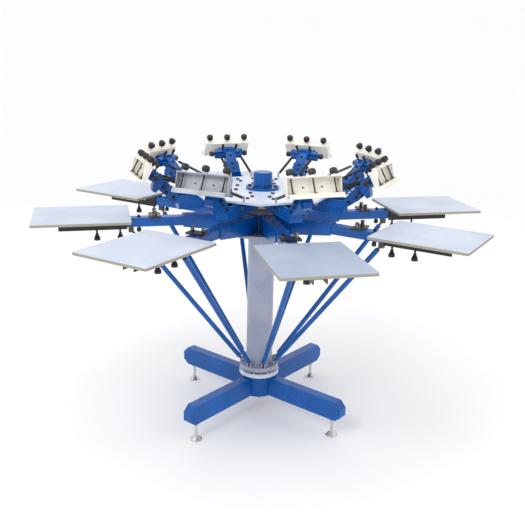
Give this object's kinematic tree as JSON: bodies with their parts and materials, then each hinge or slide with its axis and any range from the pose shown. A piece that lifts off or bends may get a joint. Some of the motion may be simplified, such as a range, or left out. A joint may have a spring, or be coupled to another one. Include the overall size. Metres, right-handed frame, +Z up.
{
  "type": "screen printing carousel",
  "caption": "Rotary screen printing press with flat pallets on turning arms below and spring-lifted print heads with screen clamps on a second carousel above.",
  "frame": {"origin": "on the floor under the centre of the pedestal shaft", "axes": "+Z up along the shaft, -Y towards the operator's front view, +X to the right"},
  "size_m": [2.2384, 2.2384, 1.3925],
  "materials": {
    "blue_paint": "gloss",
    "bare_steel": "satin",
    "dark_steel": "satin",
    "grey_paint": "satin",
    "bright_steel": "gloss",
    "black_steel": "satin",
    "white_paint": "satin",
    "ivory_paint": "satin",
    "pallet_laminate": "satin",
    "black_plastic": "matte"
  },
  "bodies": {
    "base": {"base_frame": "blue_paint", "pedestal_shaft": "bare_steel", "column_bearings": "dark_steel"},
    "foot_1": {"levelling_foot_1": "bright_steel"},
    "foot_2": {"levelling_foot_2": "bright_steel"},
    "foot_3": {"levelling_foot_3": "bright_steel"},
    "foot_4": {"levelling_foot_4": "bright_steel"},
    "pallet_carousel": {"column_tube": "grey_paint", "stay_ring": "grey_paint", "arm_plate": "grey_paint", "pallet_arms": "blue_paint", "support_stays": "blue_paint", "stay_rod_ends": "bright_steel", "registration_gates": "black_steel"},
    "head_carousel": {"head_plate": "white_paint", "head_bases": "blue_paint", "shaft_cap": "blue_paint", "hinge_pins": "bright_steel", "plate_bolts": "bright_steel", "lift_springs": "black_steel"},
    "pallet_1": {"pallet_board_1": "pallet_laminate", "pallet_bracket_1": "black_steel"},
    "print_head_1": {"head_arm_1": "blue_paint", "screen_clamp_1": "ivory_paint"},
    "clamp_screw_set_1": {"clamp_screws_1": "black_plastic"},
    "pallet_2": {"pallet_board_2": "pallet_laminate", "pallet_bracket_2": "black_steel"},
    "print_head_2": {"head_arm_2": "blue_paint", "screen_clamp_2": "ivory_paint"},
    "clamp_screw_set_2": {"clamp_screws_2": "black_plastic"},
    "pallet_3": {"pallet_board_3": "pallet_laminate", "pallet_bracket_3": "black_steel"},
    "print_head_3": {"head_arm_3": "blue_paint", "screen_clamp_3": "ivory_paint"},
    "clamp_screw_set_3": {"clamp_screws_3": "black_plastic"},
    "pallet_4": {"pallet_board_4": "pallet_laminate", "pallet_bracket_4": "black_steel"},
    "print_head_4": {"head_arm_4": "blue_paint", "screen_clamp_4": "ivory_paint"},
    "clamp_screw_set_4": {"clamp_screws_4": "black_plastic"},
    "pallet_5": {"pallet_board_5": "pallet_laminate", "pallet_bracket_5": "black_steel"},
    "print_head_5": {"head_arm_5": "blue_paint", "screen_clamp_5": "ivory_paint"},
    "clamp_screw_set_5": {"clamp_screws_5": "black_plastic"},
    "pallet_6": {"pallet_board_6": "pallet_laminate", "pallet_bracket_6": "black_steel"},
    "print_head_6": {"head_arm_6": "blue_paint", "screen_clamp_6": "ivory_paint"},
    "clamp_screw_set_6": {"clamp_screws_6": "black_plastic"},
    "pallet_7": {"pallet_board_7": "pallet_laminate", "pallet_bracket_7": "black_steel"},
    "print_head_7": {"head_arm_7": "blue_paint", "screen_clamp_7": "ivory_paint"},
    "clamp_screw_set_7": {"clamp_screws_7": "black_plastic"},
    "pallet_8": {"pallet_board_8": "pallet_laminate", "pallet_bracket_8": "black_steel"},
    "print_head_8": {"head_arm_8": "blue_paint", "screen_clamp_8": "ivory_paint"},
    "clamp_screw_set_8": {"clamp_screws_8": "black_plastic"}
  },
  "joints": [
    {"name": "pallet_carousel_spin", "type": "hinge", "parent": "base", "child": "pallet_carousel", "pos_m": [0, 0, 0.6], "axis": [0, 0, 1], "continuous": true},
    {"name": "head_carousel_spin", "type": "hinge", "parent": "base", "child": "head_carousel", "pos_m": [0, 0, 1.14], "axis": [0, 0, 1], "continuous": true},
    {"name": "foot_screw_1", "type": "slide", "parent": "base", "child": "foot_1", "axis": [0, 0, 1], "range_m": [-0.02, 0.03]},
    {"name": "foot_screw_2", "type": "slide", "parent": "base", "child": "foot_2", "axis": [0, 0, 1], "range_m": [-0.02, 0.03]},
    {"name": "foot_screw_3", "type": "slide", "parent": "base", "child": "foot_3", "axis": [0, 0, 1], "range_m": [-0.02, 0.03]},
    {"name": "foot_screw_4", "type": "slide", "parent": "base", "child": "foot_4", "axis": [0, 0, 1], "range_m": [-0.02, 0.03]},
    {"name": "pallet_slide_1", "type": "slide", "parent": "pallet_carousel", "child": "pallet_1", "axis": [0.1271, -0.9919, 0], "range_m": [-0.02, 0.08]},
    {"name": "pallet_slide_2", "type": "slide", "parent": "pallet_carousel", "child": "pallet_2", "axis": [0.7912, -0.6115, 0], "range_m": [-0.02, 0.08]},
    {"name": "pallet_slide_3", "type": "slide", "parent": "pallet_carousel", "child": "pallet_3", "axis": [0.9919, 0.1271, 0], "range_m": [-0.02, 0.08]},
    {"name": "pallet_slide_4", "type": "slide", "parent": "pallet_carousel", "child": "pallet_4", "axis": [0.6115, 0.7912, 0], "range_m": [-0.02, 0.08]},
    {"name": "pallet_slide_5", "type": "slide", "parent": "pallet_carousel", "child": "pallet_5", "axis": [-0.1271, 0.9919, 0], "range_m": [-0.02, 0.08]},
    {"name": "pallet_slide_6", "type": "slide", "parent": "pallet_carousel", "child": "pallet_6", "axis": [-0.7912, 0.6115, 0], "range_m": [-0.02, 0.08]},
    {"name": "pallet_slide_7", "type": "slide", "parent": "pallet_carousel", "child": "pallet_7", "axis": [-0.9919, -0.1271, 0], "range_m": [-0.02, 0.08]},
    {"name": "pallet_slide_8", "type": "slide", "parent": "pallet_carousel", "child": "pallet_8", "axis": [-0.6115, -0.7912, 0], "range_m": [-0.02, 0.08]},
    {"name": "head_tilt_1", "type": "hinge", "parent": "head_carousel", "child": "print_head_1", "pos_m": [0.07613, -0.29018, 1.158], "axis": [0.9673, 0.2538, 0], "range_deg": [0, 28], "stiffness_Nm_per_rad": 25, "springref_deg": -57.3, "deforming": ["lift_springs"]},
    {"name": "head_tilt_2", "type": "hinge", "parent": "head_carousel", "child": "print_head_2", "pos_m": [0.25902, -0.15136, 1.158], "axis": [0.5045, 0.8634, 0], "range_deg": [0, 28], "stiffness_Nm_per_rad": 25, "springref_deg": -57.3, "deforming": ["lift_springs"]},
    {"name": "head_tilt_3", "type": "hinge", "parent": "head_carousel", "child": "print_head_3", "pos_m": [0.29018, 0.07613, 1.158], "axis": [-0.2538, 0.9673, 0], "range_deg": [0, 28], "stiffness_Nm_per_rad": 25, "springref_deg": -57.3, "deforming": ["lift_springs"]},
    {"name": "head_tilt_4", "type": "hinge", "parent": "head_carousel", "child": "print_head_4", "pos_m": [0.15136, 0.25902, 1.158], "axis": [-0.8634, 0.5045, 0], "range_deg": [0, 28], "stiffness_Nm_per_rad": 25, "springref_deg": -57.3, "deforming": ["lift_springs"]},
    {"name": "head_tilt_5", "type": "hinge", "parent": "head_carousel", "child": "print_head_5", "pos_m": [-0.07613, 0.29018, 1.158], "axis": [-0.9673, -0.2538, 0], "range_deg": [0, 28], "stiffness_Nm_per_rad": 25, "springref_deg": -57.3, "deforming": ["lift_springs"]},
    {"name": "head_tilt_6", "type": "hinge", "parent": "head_carousel", "child": "print_head_6", "pos_m": [-0.25902, 0.15136, 1.158], "axis": [-0.5045, -0.8634, 0], "range_deg": [0, 28], "stiffness_Nm_per_rad": 25, "springref_deg": -57.3, "deforming": ["lift_springs"]},
    {"name": "head_tilt_7", "type": "hinge", "parent": "head_carousel", "child": "print_head_7", "pos_m": [-0.29018, -0.07613, 1.158], "axis": [0.2538, -0.9673, 0], "range_deg": [0, 28], "stiffness_Nm_per_rad": 25, "springref_deg": -57.3, "deforming": ["lift_springs"]},
    {"name": "head_tilt_8", "type": "hinge", "parent": "head_carousel", "child": "print_head_8", "pos_m": [-0.15136, -0.25902, 1.158], "axis": [0.8634, -0.5045, 0], "range_deg": [0, 28], "stiffness_Nm_per_rad": 25, "springref_deg": -57.3, "deforming": ["lift_springs"]},
    {"name": "clamp_screws_slide_1", "type": "slide", "parent": "print_head_1", "child": "clamp_screw_set_1", "axis": [-0.1191, 0.4541, 0.8829], "range_m": [0, 0.045]},
    {"name": "clamp_screws_slide_2", "type": "slide", "parent": "print_head_2", "child": "clamp_screw_set_2", "axis": [-0.4053, 0.2369, 0.8829], "range_m": [0, 0.045]},
    {"name": "clamp_screws_slide_3", "type": "slide", "parent": "print_head_3", "child": "clamp_screw_set_3", "axis": [-0.4541, -0.1191, 0.8829], "range_m": [0, 0.045]},
    {"name": "clamp_screws_slide_4", "type": "slide", "parent": "print_head_4", "child": "clamp_screw_set_4", "axis": [-0.2369, -0.4053, 0.8829], "range_m": [0, 0.045]},
    {"name": "clamp_screws_slide_5", "type": "slide", "parent": "print_head_5", "child": "clamp_screw_set_5", "axis": [0.1191, -0.4541, 0.8829], "range_m": [0, 0.045]},
    {"name": "clamp_screws_slide_6", "type": "slide", "parent": "print_head_6", "child": "clamp_screw_set_6", "axis": [0.4053, -0.2369, 0.8829], "range_m": [0, 0.045]},
    {"name": "clamp_screws_slide_7", "type": "slide", "parent": "print_head_7", "child": "clamp_screw_set_7", "axis": [0.4541, 0.1191, 0.8829], "range_m": [0, 0.045]},
    {"name": "clamp_screws_slide_8", "type": "slide", "parent": "print_head_8", "child": "clamp_screw_set_8", "axis": [0.2369, 0.4053, 0.8829], "range_m": [0, 0.045]}
  ]
}
